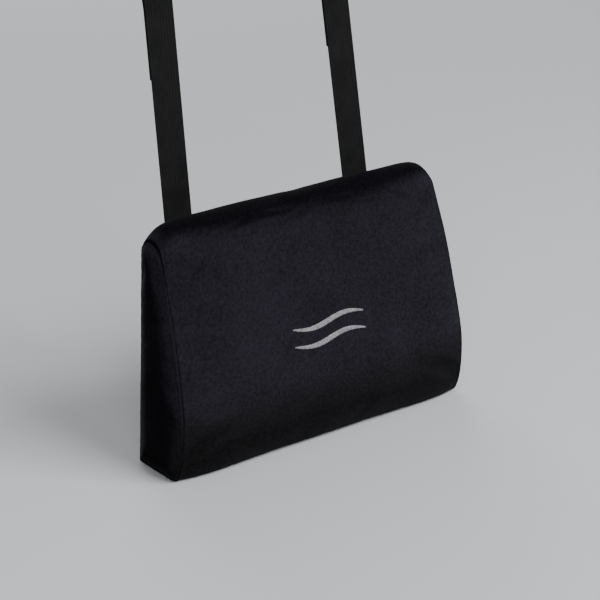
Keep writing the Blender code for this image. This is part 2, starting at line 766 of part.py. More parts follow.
clear_scene()
build_cushion()
build_zip()
build_straps()
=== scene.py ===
import json
import math

import bmesh
import bpy
import numpy as np
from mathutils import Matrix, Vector


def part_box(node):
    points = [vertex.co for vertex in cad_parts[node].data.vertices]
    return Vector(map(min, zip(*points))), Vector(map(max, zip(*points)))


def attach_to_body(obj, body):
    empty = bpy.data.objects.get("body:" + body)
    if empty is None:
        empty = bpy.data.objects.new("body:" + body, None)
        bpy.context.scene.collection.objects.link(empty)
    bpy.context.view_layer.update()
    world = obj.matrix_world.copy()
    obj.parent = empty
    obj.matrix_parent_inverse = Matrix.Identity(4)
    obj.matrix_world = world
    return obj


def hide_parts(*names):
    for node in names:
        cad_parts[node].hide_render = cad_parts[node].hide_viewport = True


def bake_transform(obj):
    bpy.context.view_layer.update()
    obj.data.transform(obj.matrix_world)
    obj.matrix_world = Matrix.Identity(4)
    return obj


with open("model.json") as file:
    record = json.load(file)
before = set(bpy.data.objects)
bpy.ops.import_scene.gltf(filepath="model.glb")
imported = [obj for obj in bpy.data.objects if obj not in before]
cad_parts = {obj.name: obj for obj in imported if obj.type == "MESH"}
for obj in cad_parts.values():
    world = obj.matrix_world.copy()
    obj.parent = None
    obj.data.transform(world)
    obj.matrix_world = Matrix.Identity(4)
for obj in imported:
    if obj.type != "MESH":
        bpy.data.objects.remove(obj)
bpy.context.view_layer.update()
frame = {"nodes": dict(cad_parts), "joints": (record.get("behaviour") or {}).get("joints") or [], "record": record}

MM = 0.001
REAR = np.array((0.0, 1.0, 0.0))

# ---------------- driving dimensions

WRAP_LOW, WRAP_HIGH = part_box("cover_wrap")
BACK_Y = WRAP_HIGH.y
FRONT_Y = WRAP_LOW.y
HEIGHT = WRAP_HIGH.z
WIDTH_BOTTOM = 335 * MM
WIDTH_TOP = 314 * MM
TOP_RADIUS = 19 * MM
TOP_CENTRE = np.array((BACK_Y - TOP_RADIUS, HEIGHT - TOP_RADIUS))  # of the top roll, in side view
FRONT_LEAN = math.radians(17)
TOE_DEPTH = 16 * MM
TOE_HEIGHT = 55 * MM
CORNER_REACH = 57 * MM  # how far from each side panel the wrap starts to turn in
CORNER_TURN = math.radians(65)  # how far it has turned at the side seam
FRONT_PULL = 8 * MM  # how far back the front lies at the side seam
TOP_DROP = 18 * MM  # how far down the top lies at the side seam
TOP_FULLNESS = 2.5  # the drop stays this much closer to the seam than the pull does, as a power
SIDE_CROWN = 6.5 * MM  # how far the side panels bulge out
SIDE_CROWN_REACH = 22 * MM  # how far in from their seams they still rise

ROWS = 72  # cells along the side seam in the coarse form
CORNER_CELLS = 14
CORNER_SPACING = 1.4  # above 1, the cells get narrower towards the seam
MIDDLE_CELLS = 44
SIDE_CELLS = 14

COVER = 1.0 * MM
SPARE_CLOTH = 0.003  # share by which the cover is cut larger than its form
PRESSURE = 4.0
FRAMES = 20
SWELL_CAP = 2.5 * MM
START_INSET = 1.2 * MM  # the simulation starts this far inside the form
PULL_CELLS = 4  # cells from the seam over which that inset grows

LINER_INSET = 3.2 * MM
LINER = 0.6 * MM
LINER_BACK = 5 * MM
FOAM_INSET = 4.2 * MM
FOAM_BACK = 6 * MM

ZIP_Z = (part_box("zip_row_lower")[1].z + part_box("zip_row_upper")[0].z) / 2
ZIP_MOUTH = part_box("cover_back_upper")[0].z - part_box("cover_back_lower")[1].z
ZIP_ENDS = 126 * MM  # from here outwards the two back panels close up
COIL_PITCH = 1.27 * MM
COIL_WIRE = 0.27 * MM  # radius

# Straps. In a strap's own frame x is across it, y is rearwards and z is up, all from where the webbing
# reaches the buckle's bar
STRAP_HALF = 15 * MM
WEBBING = 1.6 * MM
RIB_PITCH = 3 * MM
RIB_HEIGHT = 0.22 * MM
GAP = 0.3 * MM
STRAP_LENGTH = 372 * MM
STRAP_TILT = math.radians(9)
STRAP_ANCHOR = 24 * MM
BAR = 1.5 * MM  # radius
BUCKLE_Y = 2.6 * MM  # the buckle's middle plane
PRONG_Z = 11.3 * MM  # where the prongs bend
TURN_END = 6 * MM  # how far below the bar the turn's rear end is
TAIL_CLOSES = 24 * MM  # from here down the tail lies close behind the run
TAIL_LENGTH = 95 * MM
FEMALE_BAR_Z = 40.2 * MM
FEMALE_THICK = 9 * MM
GRIP_Z = 23.6 * MM  # middle of the raised frame with the grip ribs
GRIP_HALF = 11.5 * MM
GRIP_PITCH = 1.9 * MM
MALE_THICK = 6.4 * MM
LOOP_HALF = 13 * MM
LOOP_WIDEST = 60 * MM
LOOP_OVERLAP = (16 * MM, 40 * MM)  # where its two ends lie on each other, above the bar
LOOP_BOX = (19 * MM, 37 * MM)  # the stretch inside that overlap with the box of stitches
ANCHOR_BOX = (-4 * MM, -21 * MM)  # the same on the webbing's sewn foot, from where it leaves the panel
BOX_HALF = 11 * MM
TAIL_HEMS = (2.5 * MM, 9 * MM)  # rows of stitches, from the tail's cut end

MARK_SWING = 3.2 * MM  # how far each wave rises and falls
MARK_BAND = 2.6 * MM  # half its width in the middle
MARK_TAPER = 0.75  # share of that width which it loses towards its ends
THREAD_PITCH = 0.5 * MM


# ---------------- camera, light and floor


def add_object(name, data):
    made = bpy.data.objects.new(name, data)
    bpy.context.scene.collection.objects.link(made)
    return made


def add_camera():
    data = bpy.data.cameras.new("camera")
    data.lens = 120
    data.sensor_width = 36
    camera = add_object("camera", data)
    camera.location = (-1.0510, -1.3720, 0.8328)
    aim = Vector((0.5596, 0.7386, -0.3759))
    camera.rotation_euler = aim.to_track_quat("-Z", "Y").to_euler()
    bpy.context.scene.camera = camera


def add_light(name, place, target, size, power, colour=(1, 1, 1)):
    data = bpy.data.lights.new(name, "AREA")
    data.shape = "RECTANGLE"
    data.size, data.size_y = size
    data.energy = power
    data.color = colour
    light = add_object(name, data)
    light.location = place
    light.rotation_euler = (Vector(target) - Vector(place)).to_track_quat("-Z", "Y").to_euler()


def add_studio():
    add_light("key", (0.8, -1.9, 2.0), (0, 0, 0.12), (1.8, 1.4), 90)
    add_light("fill", (-1.7, -2.2, 1.6), (0, 0, 0.15), (1.6, 1.4), 30)
    add_light("rear", (1.4, 3.6, 1.7), (0, 0, 0.25), (2.6, 1.8), 75)
    world = bpy.data.worlds.new("studio")
    bpy.context.scene.world = world
    world.use_nodes = True
    background = world.node_tree.nodes["Background"]
    background.inputs["Color"].default_value = (0.9, 0.93, 0.97, 1)
    background.inputs["Strength"].default_value = 0.26


def add_floor():
    half = 9.0
    mesh = bpy.data.meshes.new("floor")
    corners = [(-half, -half, 0), (half, -half, 0), (half, half, 0), (-half, half, 0)]
    mesh.from_pydata(corners, [], [(0, 1, 2, 3)])
    mesh.materials.append(Nodes("floor_paper").finish(Base_Color=(0.62, 0.64, 0.65), Roughness=0.95))
    floor = add_object("floor", mesh)


# ---------------- materials


class Nodes:
    """A short way to build a material's node tree."""

    def __init__(self, name):
        self.material = bpy.data.materials.new(name)
        self.material.use_nodes = True
        self.tree = self.material.node_tree
        self.shader = self.tree.nodes["Principled BSDF"]

    def add(self, kind, values=(), **settings):
        """A node with some of its inputs set: a number or colour, or another node's output."""
        node = self.tree.nodes.new(kind)
        for key, value in settings.items():
            setattr(node, key, value)
        for key, value in dict(values).items():
            self.set(node.inputs[key], value)
        return node

    def set(self, socket, value):
        if isinstance(value, bpy.types.NodeSocket):
            self.tree.links.new(value, socket)
        elif socket.type == "RGBA":
            socket.default_value = (*value, 1)
        else:
            socket.default_value = value

    def math(self, operation, a, b=0.0):
        return self.add("ShaderNodeMath", {0: a, 1: b}, operation=operation).outputs[0]

    def times(self, a, b):
        return self.math("MULTIPLY", a, b)

    def plus(self, a, b):
        return self.math("ADD", a, b)

    def wave(self, along, length):
        """A sine along a distance, with this wavelength."""
        return self.math("SINE", self.times(along, 2 * math.pi / length))

    def place(self, scale=(1, 1, 1)):
        """The point's place in the piece's own metres, stretched."""
        coordinates = self.add("ShaderNodeTexCoord")
        mapping = self.add("ShaderNodeMapping", {"Vector": coordinates.outputs["Object"], "Scale": scale})
        return mapping.outputs["Vector"]

    def split(self, vector):
        return self.add("ShaderNodeSeparateXYZ", {0: vector}).outputs

    def woven(self):
        """UV coordinates, which are in metres: across the webbing and along it."""
        return self.split(self.add("ShaderNodeTexCoord").outputs["UV"])

    def noise(self, scale, detail=3.0, roughness=0.55, stretch=(1, 1, 1)):
        values = {"Vector": self.place(stretch), "Scale": scale, "Detail": detail, "Roughness": roughness}
        return self.add("ShaderNodeTexNoise", values).outputs["Fac"]

    def spread(self, value, low, high, to_low=0.0, to_high=1.0):
        """A value moved from one range to another."""
        values = {"Value": value, "From Min": low, "From Max": high, "To Min": to_low, "To Max": to_high}
        return self.add("ShaderNodeMapRange", values).outputs["Result"]

    def painted_light_and_shade(self):
        """Painted light and shade by where the cloth faces: darker where it rolls over the top, below the front's
        bulge and on the flat side panels, a little brighter on the front. Returns that factor and how far the
        cloth faces down."""
        x, _, up = self.split(self.add("ShaderNodeTexCoord").outputs["Normal"])
        sideways = self.math("ABSOLUTE", x)
        # painted shade: cloth that faces up, over the top roll, is darkened, but not on the side panels
        over = self.times(self.spread(up, 0.22, 0.75, 0, 0.7), self.spread(sideways, 0.6, 0.85, 1, 0))
        under = self.spread(up, 0.18, -0.16)
        factor = self.math("SUBTRACT", 1.0, over)
        # painted light and shade: the front and top are brightened, the flat side panels darkened, and the crowns
        # by the side seams lie in between
        factor = self.times(factor, self.spread(sideways, 0.92, 0.995, 1.15, 0.38))
        # painted shade: cloth that faces down, below the front's bulge and at the bottom, is darkened
        factor = self.times(factor, self.spread(under, 0, 1, 1.0, 0.42))
        return factor, under

    def mix(self, share, a, b):
        values = {"Factor": share, "A": a, "B": b}
        return self.add("ShaderNodeMix", values, data_type="RGBA").outputs["Result"]

    def bump(self, height, strength, distance, after=None):
        values = {"Height": height, "Strength": strength, "Distance": distance}
        if after:
            values["Normal"] = after
        return self.add("ShaderNodeBump", values).outputs["Normal"]

    def finish(self, **values):
        """Sets the shader's inputs, with underscores for the spaces in their names."""
        for key, value in values.items():
            self.set(self.shader.inputs[key.replace("_", " ")], value)
        return self.material


def velour_material():
    n = Nodes("velour_pile")
    cloud = n.noise(22, 3, 0.5)
    mottle = n.noise(330, 3, 0.6)
    pile = n.noise(1500, 3, 0.7)
    shade = n.plus(n.times(cloud, 0.3), n.times(mottle, 0.7))
    shade = n.spread(shade, 0.38, 0.62)
    # painted light and shade by where the cloth faces; it scales the pile specks, and with them the colour, sheen
    # and specular
    painted_light_and_shade, under = n.painted_light_and_shade()
    pile_speck_and_painted_shade = n.times(n.spread(pile, 0.3, 0.7, 0.65, 1.35), painted_light_and_shade)
    # painted shade: cloth that faces down gets a neutral grey colour, while the rest keeps a violet tint that
    # stands for the light on it
    low = n.mix(under, (0.0048, 0.0044, 0.0062), (0.0048, 0.0047, 0.0048))
    high = n.mix(under, (0.0108, 0.0095, 0.0150), (0.0106, 0.0102, 0.0106))
    colour = n.mix(shade, low, high)
    scaled = n.add("ShaderNodeVectorMath", {0: colour, "Scale": pile_speck_and_painted_shade}, operation="SCALE").outputs[0]
    sheen = n.times(n.spread(shade, 0, 1, 0.025, 0.055), pile_speck_and_painted_shade)
    relief = n.bump(pile, 0.6, 0.35 * MM)
    relief = n.bump(mottle, 0.35, 0.4 * MM, relief)
    return n.finish(
        Base_Color=scaled,
        Roughness=0.95,
        Specular_IOR_Level=n.times(painted_light_and_shade, 0.1),
        Sheen_Weight=sheen,
        Sheen_Roughness=0.5,
        Sheen_Tint=(0.75, 0.70, 0.95),
        Normal=relief,
    )


def webbing_material():
    n = Nodes("ribbed_webbing")
    across, along, _ = n.woven()
    rib = n.math("COSINE", n.times(across, 2 * math.pi / RIB_PITCH))
    weft = n.wave(along, 0.9 * MM)
    slant = n.plus(n.times(across, 1.6), along)
    twill = n.wave(slant, 1.4 * MM)
    weave = n.plus(n.times(weft, 0.35), n.times(twill, 0.45))
    # painted shade: the valleys between the ribs are made darker in colour; the same value also shapes the bump
    weave = n.math("SUBTRACT", weave, n.times(rib, 0.42))
    wear = n.noise(70, 4, 0.6)
    fuzz = n.noise(2200, 2, 0.6)
    shade = n.spread(n.plus(n.times(weave, 0.3), wear), 0.2, 0.9)
    colour = n.mix(shade, (0.0012, 0.0012, 0.0012), (0.0118, 0.0115, 0.0110))
    relief = n.bump(weave, 0.7, 0.25 * MM)
    relief = n.bump(fuzz, 0.3, 0.15 * MM, relief)
    rough = n.spread(wear, 0.3, 0.7, 0.7, 0.85)
    return n.finish(
        Base_Color=colour,
        Roughness=rough,
        Specular_IOR_Level=0.12,
        Sheen_Weight=0.015,
        Sheen_Roughness=0.5,
        Normal=relief,
    )


def thread_material(name, colour, shine=0.35):
    n = Nodes(name)
    twist = n.noise(1800, 2, 0.6)
    tone = n.noise(480)
    shade = n.spread(n.plus(twist, tone), 0.8, 1.2)
    dark = [channel * 0.55 for channel in colour]
    light = [channel * 1.4 for channel in colour]
    return n.finish(
        Base_Color=n.mix(shade, dark, light),
        Roughness=0.5,
        Specular_IOR_Level=shine,
        Sheen_Weight=0.1,
        Normal=n.bump(twist, 0.4, 0.12 * MM),
    )


def nylon_material():
    n = Nodes("buckle_acetal")
    grain = n.noise(1600, 2, 0.5)
    tone = n.noise(60)
    edge = n.add("ShaderNodeNewGeometry").outputs["Pointiness"]
    worn = n.spread(edge, 0.52, 0.6)
    colour = n.mix(worn, (0.0050, 0.0050, 0.0054), (0.018, 0.018, 0.019))
    rough = n.plus(n.spread(tone, 0.3, 0.7, 0.46, 0.58), n.times(worn, 0.1))
    return n.finish(
        Base_Color=colour, Roughness=rough, Specular_IOR_Level=0.22, Normal=n.bump(grain, 0.3, 0.06 * MM)
    )


def metal_material():
    n = Nodes("black_zinc")
    edge = n.add("ShaderNodeNewGeometry").outputs["Pointiness"]
    scuff = n.noise(900, 4, 0.7)
    worn = n.spread(n.plus(edge, n.times(scuff, 0.06)), 0.545, 0.62)
    colour = n.mix(worn, (0.018, 0.018, 0.020), (0.075, 0.072, 0.070))
    rough = n.spread(scuff, 0.3, 0.7, 0.26, 0.42)
    return n.finish(
        Base_Color=colour, Metallic=0.9, Roughness=rough, Normal=n.bump(scuff, 0.15, 0.04 * MM)
    )


def tape_material():
    n = Nodes("zip_tape_weave")
    x, _, z = n.split(n.place())
    ribs = n.wave(z, 0.7 * MM)
    picks = n.wave(x, 0.5 * MM)
    weave = n.times(ribs, picks)
    shade = n.spread(n.plus(weave, n.noise(200)), -0.6, 1.6)
    colour = n.mix(shade, (0.004, 0.004, 0.0045), (0.012, 0.012, 0.013))
    relief = n.bump(weave, 0.5, 0.12 * MM)
    return n.finish(Base_Color=colour, Roughness=0.85, Specular_IOR_Level=0.2, Normal=relief)


def coil_material():
    n = Nodes("zip_coil_nylon")
    tone = n.noise(400)
    colour = n.mix(n.spread(tone, 0.3, 0.7), (0.006, 0.006, 0.0065), (0.016, 0.016, 0.017))
    rough = n.spread(tone, 0.3, 0.7, 0.55, 0.7)
    return n.finish(Base_Color=colour, Roughness=rough, Specular_IOR_Level=0.12)


def foam_material():
    n = Nodes("open_cell_foam")
    cells = n.add("ShaderNodeTexVoronoi", {"Vector": n.place(), "Scale": 900.0}).outputs["Distance"]
    tone = n.noise(25)
    colour = n.mix(n.spread(tone, 0.35, 0.65), (0.55, 0.50, 0.33), (0.68, 0.64, 0.48))
    relief = n.bump(cells, 0.6, 0.5 * MM)
    return n.finish(Base_Color=colour, Roughness=0.9, Specular_IOR_Level=0.1, Normal=relief)


def liner_material():
    n = Nodes("spunbond_liner")
    dots = n.add("ShaderNodeTexVoronoi", {"Vector": n.place(), "Scale": 550.0}).outputs["Distance"]
    fibres = n.noise(500, 5, 0.7, stretch=(1, 6, 1))
    colour = n.mix(fibres, (0.32, 0.32, 0.33), (0.5, 0.5, 0.5))
    return n.finish(Base_Color=colour, Roughness=0.85, Normal=n.bump(dots, 0.4, 0.2 * MM))


def label_material():
    n = Nodes("label_satin")
    x, _, z = n.split(n.place())
    slant = n.plus(x, n.times(z, 0.4))
    floats = n.wave(slant, 0.35 * MM)
    tone = n.noise(120)
    colour = n.mix(n.spread(tone, 0.3, 0.7), (0.55, 0.55, 0.53), (0.68, 0.68, 0.66))
    relief = n.bump(floats, 0.3, 0.06 * MM)
    return n.finish(Base_Color=colour, Roughness=0.45, Sheen_Weight=0.2, Normal=relief)


def make_materials():
    return {
        "velour": velour_material(),
        "webbing": webbing_material(),
        "mark_thread": thread_material("silver_thread", (0.205, 0.20, 0.215), 0.5),
        "dark_thread": thread_material("black_thread", (0.010, 0.010, 0.011)),
        "buckle_nylon": nylon_material(),
        "zip_metal": metal_material(),
        "zip_tape": tape_material(),
        "zip_coil": coil_material(),
        "foam": foam_material(),
        "liner": liner_material(),
        "label_satin": label_material(),
    }


# ---------------- meshes from grids


def unit(vectors):
    return vectors / np.maximum(np.linalg.norm(vectors, axis=-1, keepdims=True), 1e-12)


def ramp(distance, reach):
    """Rises evenly from 0 to 1 over that reach."""
    return np.clip(distance / reach, 0, 1)


def hump(distance, width):
    """1 where the distance is 0, fading out smoothly over about two widths to either side."""
    return np.exp(-((distance / width) ** 2))


def points_at(*coordinates):
    """Points from separate coordinates, each a number or an array."""
    return np.stack(np.broadcast_arrays(*coordinates), axis=-1)


def circle(count, start=0.0):
    """Cosines and sines of evenly spaced turns."""
    turns = start + 2 * math.pi * np.arange(count) / count
    return np.cos(turns), np.sin(turns)


def attach(piece, body, node=None):
    """Makes a piece move with a body, and hides the CAD node it stands for, if one is given."""
    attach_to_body(piece, body)
    if node:
        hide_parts(node)


def grid_normals(grid):
    """Normals of a grid of points, turned by the right-hand rule from its rows to its columns."""
    return unit(np.cross(np.gradient(grid, axis=0), np.gradient(grid, axis=1)))


def spline(grid, positions, axis):
    """Smooth curves through a grid along one axis, read at fractional positions."""
    grid = np.moveaxis(grid, axis, 0)
    positions = np.asarray(positions, float)
    last = len(grid) - 1
    low = np.clip(np.floor(positions).astype(int), 0, last - 1)
    t = (positions - low).reshape(-1, *[1] * (grid.ndim - 1))
    padded = np.concatenate([2 * grid[:1] - grid[1:2], grid, 2 * grid[-1:] - grid[-2:-1]])
    before, a, b, after = (padded[low + step] for step in range(4))
    smooth = 2 * a + (b - before) * t
    smooth = smooth + (2 * before - 5 * a + 4 * b - after) * t**2
    smooth = smooth + (3 * a - before - 3 * b + after) * t**3
    return np.moveaxis(smooth / 2, 0, axis)


def sample(grid, rows, columns):
    return spline(spline(grid, rows, 0), columns, 1)


def add_mesh(name, points, faces, finish, uv=None, sharp=None):
    mesh = bpy.data.meshes.new(name)
    mesh.from_pydata(np.asarray(points).tolist(), [], faces)
    mesh.materials.append(finish)
    if uv is not None:
        corners = np.zeros(len(mesh.loops), int)
        mesh.loops.foreach_get("vertex_index", corners)
        layer = mesh.uv_layers.new(name="metres")
        layer.data.foreach_set("uv", np.asarray(uv)[corners].astype(np.float32).ravel())
    work = bmesh.new()
    work.from_mesh(mesh)
    bmesh.ops.recalc_face_normals(work, faces=work.faces)
    work.to_mesh(mesh)
    work.free()
    mesh.shade_smooth()
    if sharp:
        mesh.set_sharp_from_angle(angle=sharp)
    return add_object(name, mesh)


def numbered(shape, start=0):
    """A grid of indices that count up from start."""
    return start + np.arange(shape[0] * shape[1]).reshape(shape[:2])


def index_faces(index):
    """Faces between the points that a grid of indices names. Corners on the same point are merged."""
    corners = np.stack([index[:-1, :-1], index[:-1, 1:], index[1:, 1:], index[1:, :-1]], axis=-1)
    faces = [tuple(dict.fromkeys(face)) for face in corners.reshape(-1, 4).tolist()]
    return [face for face in faces if len(face) > 2]


def rim_faces(index, second):
    """Faces from a grid's outline to that of a matching grid, whose indices are this much higher."""
    outline = np.concatenate([index[0], index[1:, -1], index[-1, -2::-1], index[-2::-1, 0]])
    return index_faces(np.stack([outline, outline + second]))


def add_shell(name, outer, inner, finish):
    """A closed thin piece between two matching grids."""
    index = numbered(outer.shape)
    points = np.concatenate([outer.reshape(-1, 3), inner.reshape(-1, 3)])
    faces = index_faces(index) + index_faces(index + index.size) + rim_faces(index, index.size)
    return add_mesh(name, points, faces, finish)


def ring_faces(index):
    """Faces through rings of points that follow each other, with both ends filled."""
    closed = np.concatenate([index, index[:, :1]], axis=1)
    return index_faces(closed) + [tuple(index[0].tolist()), tuple(index[-1].tolist())]


def add_tubes(name, tubes, finish, uv=None, sharp=math.radians(50)):
    """Closed tubes as one piece. Each is an array of rings of points: (rings, points, 3)."""
    faces = []
    start = 0
    for rings in tubes:
        index = numbered(rings.shape, start)
        faces += ring_faces(index)
        start += index.size
    points = np.concatenate([rings.reshape(-1, 3) for rings in tubes])
    return add_mesh(name, points, faces, finish, uv, sharp)


# ---------------- the cushion's form


def front_curve():
    """Start, control and end of the front face in side view."""
    end = TOP_CENTRE + TOP_RADIUS * np.array((-math.cos(FRONT_LEAN), math.sin(FRONT_LEAN)))
    start = np.array((FRONT_Y, TOE_HEIGHT))
    control = np.array((FRONT_Y, end[1] - (end[0] - FRONT_Y) / math.tan(FRONT_LEAN)))
    return start, control, end


def wrap_profile():
    """Closely spaced (y, z) points of the wrap, from the bottom's rear edge forwards, up and over the top."""
    toe_start = FRONT_Y + TOE_DEPTH
    bottom = points_at(np.linspace(BACK_Y, toe_start, 40), 0)
    turns = np.linspace(0, math.pi / 2, 40)[1:-1]
    toe = points_at(toe_start - TOE_DEPTH * np.sin(turns), TOE_HEIGHT * (1 - np.cos(turns)))
    start, control, end = front_curve()
    shares = np.linspace(0, 1, 80)[:, None]
    front = start * (1 - shares) ** 2 + control * 2 * shares * (1 - shares) + end * shares**2
    turns = np.linspace(math.pi - FRONT_LEAN, 0, 50)[1:]
    top = TOP_CENTRE + TOP_RADIUS * points_at(np.cos(turns), np.sin(turns))
    return np.concatenate([bottom, toe, front, top])


def arc_lengths(points, axis=0):
    """Distances along a line or grid of points from its start."""
    steps = np.linalg.norm(np.diff(points, axis=axis), axis=-1)
    return np.insert(np.cumsum(steps, axis=axis), 0, 0, axis=axis)


def along(points, shares):
    """Points at these shares of a polyline's length."""
    lengths = arc_lengths(points)
    wanted = np.asarray(shares) * lengths[-1]
    return points_at(*[np.interp(wanted, lengths, column) for column in points.T])


def half_width(z):
    return (WIDTH_BOTTOM + (WIDTH_TOP - WIDTH_BOTTOM) * z / HEIGHT) / 2


def wrap_point(profile, side, turn):
    """The profile's points in space, at that turn towards the seam on side -1 or +1."""
    share = (1 - math.cos(turn * CORNER_TURN)) / (1 - math.cos(CORNER_TURN))
    y, z = profile[:, 0], profile[:, 1]
    top = np.maximum(0, 2 * z / HEIGHT - 1)
    front = np.minimum(1, (BACK_Y - y) / (2 * TOP_RADIUS))
    z = z - TOP_DROP * top**2 * share**TOP_FULLNESS
    reach = CORNER_REACH * (1 - math.sin(turn * CORNER_TURN) / math.sin(CORNER_TURN))
    return points_at(side * (half_width(z) - reach), y + FRONT_PULL * share * front, z)


def wrap_grid():
    """Coarse grid of the wrap: rows along the profile, columns from the left seam to the right one."""
    profile = along(wrap_profile(), np.linspace(0, 1, ROWS + 1))
    turns = 1 - np.linspace(0, 1, CORNER_CELLS + 1) ** CORNER_SPACING
    left = [wrap_point(profile, -1, turn) for turn in turns]
    right = [wrap_point(profile, 1, turn) for turn in turns[::-1]]
    shares = np.linspace(0, 1, MIDDLE_CELLS + 1)[1:-1]
    middle = [left[-1] + (right[0] - left[-1]) * share for share in shares]
    return np.stack(left + middle + right, axis=1)


def side_grid(edge):
    """Coarse grid of a side panel, from the wrap's end row to the straight back edge, bulging a little."""
    shares = np.linspace(0, 1, SIDE_CELLS + 1)
    back = edge[0] + (edge[-1] - edge[0]) * np.linspace(0, 1, len(edge))[:, None]
    grid = edge[:, None] + (back - edge)[:, None] * shares[None, :, None]
    grid[..., 0] += math.copysign(SIDE_CROWN, edge[0, 0]) * side_swell(grid, edge)
    return grid


def side_swell(grid, edge):
    """From 0 on a side panel's outline to 1 in its middle, with most of the rise near the seams."""
    from_seam = np.linalg.norm(grid[:, :, None, 1:] - edge[None, None, :, 1:], axis=-1).min(axis=-1)
    inside = np.minimum(from_seam, BACK_Y - grid[..., 1])
    return 1 - (1 - ramp(inside, SIDE_CROWN_REACH)) ** 2


def form_points(wrap, left, right):
    """One closed set of points and faces from the coarse grids, with the map from grid places to points."""
    points = [wrap.reshape(-1, 3)]
    maps = {"wrap": numbered(wrap.shape)}
    total = maps["wrap"].size
    faces = index_faces(maps["wrap"])
    for name, grid, end in (("left", left, 0), ("right", right, -1)):
        inner = grid[1:-1, 1:]
        index = np.zeros(grid.shape[:2], int)
        index[:, 0] = maps["wrap"][:, end]
        index[[0, -1]] = index[[0, -1], :1]
        index[1:-1, 1:] = numbered(inner.shape, total)
        points.append(inner.reshape(-1, 3))
        total += inner.shape[0] * inner.shape[1]
        maps[name] = index
        faces += index_faces(index)
    back_faces, extra = back_points(wrap, maps, total)
    points.append(extra)
    return np.concatenate(points), faces + back_faces, maps


def back_points(wrap, maps, total):
    """Faces and new points of the flat back, between the two sides' rear edges."""
    shares = np.linspace(0, 1, len(wrap))[1:-1, None, None]
    inside = (wrap[:1] + (wrap[-1:] - wrap[:1]) * shares)[:, 1:-1]
    index = maps["wrap"].copy()
    index[1:-1, 0] = maps["left"][1:-1, -1]
    index[1:-1, -1] = maps["right"][1:-1, -1]
    index[1:-1, 1:-1] = numbered(inside.shape, total)
    return index_faces(index), inside.reshape(-1, 3)


def add_cloth(form, hold):
    """A cloth simulation with pressure inside the form, which stays fixed at the held points."""
    group = form.vertex_groups.new(name="hold")
    group.add(np.flatnonzero(hold).tolist(), 1.0, "REPLACE")
    cloth = form.modifiers.new("Cloth", "CLOTH")
    settings = cloth.settings
    settings.quality = 7
    settings.mass = 0.25
    settings.tension_stiffness = 30
    settings.compression_stiffness = 30
    settings.shear_stiffness = 12
    settings.bending_stiffness = 1.2
    settings.use_pressure = True
    settings.uniform_pressure_force = PRESSURE
    settings.vertex_group_mass = "hold"
    settings.shrink_min = -SPARE_CLOTH
    settings.effector_weights.gravity = 0
    cloth.collision_settings.use_collision = False


def inflate(wrap, left, right):
    """Blows the cover up a little with a cloth simulation, held at its seams. Returns the three new grids."""
    points, faces, maps = form_points(wrap, left, right)
    form = add_mesh("form", points, faces, None)
    hold = np.ones(len(points), bool)
    for index in maps.values():
        hold[index[1:-1, 1:-1]] = False
    hold[points[:, 2] < 1 * MM] = True
    add_cloth(form, hold)
    scene = bpy.context.scene
    for number in range(1, FRAMES + 1):
        scene.frame_set(number)
    depsgraph = bpy.context.evaluated_depsgraph_get()
    moved = np.zeros(len(points) * 3, np.float32)
    form.evaluated_get(depsgraph).data.vertices.foreach_get("co", moved)
    moved = moved.reshape(-1, 3).astype(float) - points
    scene.frame_set(1)
    mesh = form.data
    bpy.data.objects.remove(form)
    bpy.data.meshes.remove(mesh)
    length = np.linalg.norm(moved, axis=-1, keepdims=True)
    moved = moved * SWELL_CAP * np.tanh(length / SWELL_CAP) / np.maximum(length, 1e-9)
    return tuple(points[index] + relaxed(moved[index]) for index in maps.values())


def relaxed(moves, passes=4):
    """Moves of a grid's points, evened out between neighbours. The outline stays as it is."""
    for _ in range(passes):
        inside = moves[1:-1, 1:-1]
        around = moves[:-2, 1:-1] + moves[2:, 1:-1] + moves[1:-1, :-2] + moves[1:-1, 2:]
        moves = moves.copy()
        moves[1:-1, 1:-1] = inside / 2 + around / 8
    return moves


def pulled_in(grid, distance):
    """The grid moved inwards, and not at all along its outline."""
    rows, columns = grid.shape[:2]
    u = np.minimum(np.arange(rows), np.arange(rows)[::-1])[:, None]
    v = np.minimum(np.arange(columns), np.arange(columns)[::-1])[None]
    window = ramp(u, PULL_CELLS) * ramp(v, PULL_CELLS)
    return grid - outward(grid) * (distance * window)[..., None]


def inner_form(grids, inset, back_limit):
    """Points and faces of the cushion's closed form, moved inwards along its normals."""
    points, faces, _ = form_points(*grids)
    mesh = bpy.data.meshes.new("inner_form")
    mesh.from_pydata(points.tolist(), [], faces)
    work = bmesh.new()
    work.from_mesh(mesh)
    bmesh.ops.recalc_face_normals(work, faces=work.faces)
    work.normal_update()
    normals = np.array([vertex.normal for vertex in work.verts])
    faces = [tuple(vertex.index for vertex in face.verts) for face in work.faces]
    work.free()
    bpy.data.meshes.remove(mesh)
    points = points - normals * inset
    points[:, 1] = np.minimum(points[:, 1], BACK_Y - back_limit)
    points[:, 2] = np.maximum(points[:, 2], inset)
    return points, faces


def cushion_filling(grids, looks):
    """The foam block and the thin bag around it, both following the swollen cover."""
    foam = add_mesh("foam_block", *inner_form(grids, FOAM_INSET, FOAM_BACK), looks["foam"])
    attach(foam, "cushion", "foam_core")
    outer, faces = inner_form(grids, LINER_INSET, LINER_BACK)
    inner, _ = inner_form(grids, LINER_INSET + LINER, LINER_BACK + LINER)
    both = faces + [tuple(index + len(outer) for index in face[::-1]) for face in faces]
    bag = add_mesh("liner_bag", np.concatenate([outer, inner]), both, looks["liner"])
    attach(bag, "cushion", "inner_liner")


def outward(grid):
    """Normals that point away from the cushion's middle."""
    normals = grid_normals(grid)
    middle = np.array((0, BACK_Y - 25 * MM, 90 * MM))
    facing = np.sum(normals * (grid - middle))
    return normals if facing > 0 else -normals


# ---------------- surface detail


